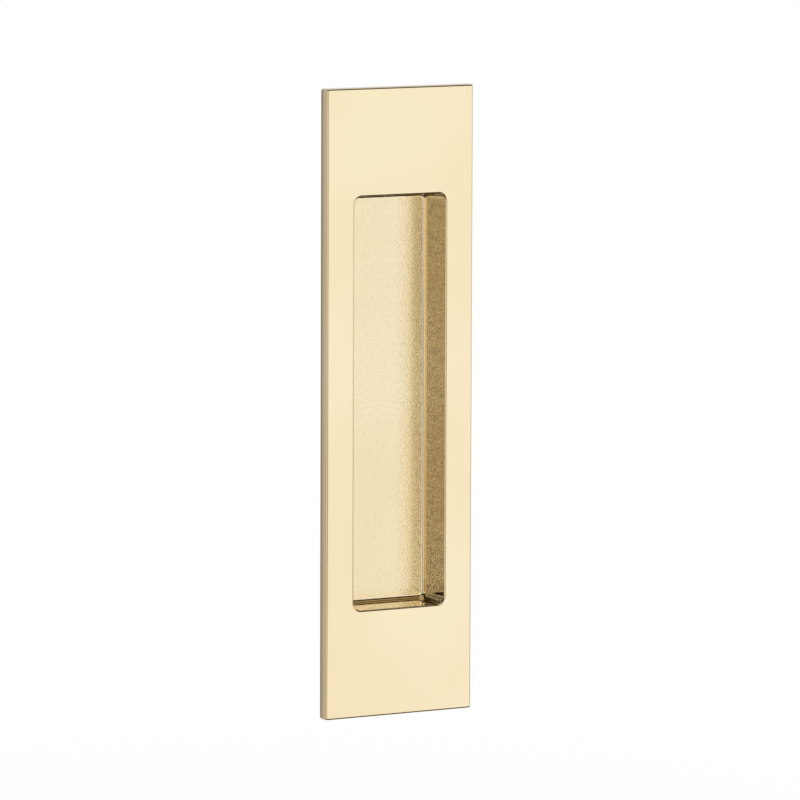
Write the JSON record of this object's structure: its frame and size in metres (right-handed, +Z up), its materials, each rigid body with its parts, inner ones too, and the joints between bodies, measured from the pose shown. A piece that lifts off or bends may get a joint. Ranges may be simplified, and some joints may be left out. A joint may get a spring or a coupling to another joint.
{
  "type": "pocket door pull",
  "caption": "Flush rectangular pull for a pocket door: a polished pale gold face plate with a drafted finger recess, cast whole with the cup behind it.",
  "frame": {"origin": "centre of the seat plane, where the back of the face plate meets the face of the door", "axes": "+Z up along the plate, +Y into the door, +X to the right of someone who faces the door"},
  "size_m": [0.04, 0.011, 0.15],
  "materials": {
    "plated_casting": "polished brass-coloured plating, finely grained inside the recess"
  },
  "bodies": {
    "root": {"flush_pull": "plated_casting"}
  },
  "joints": []
}
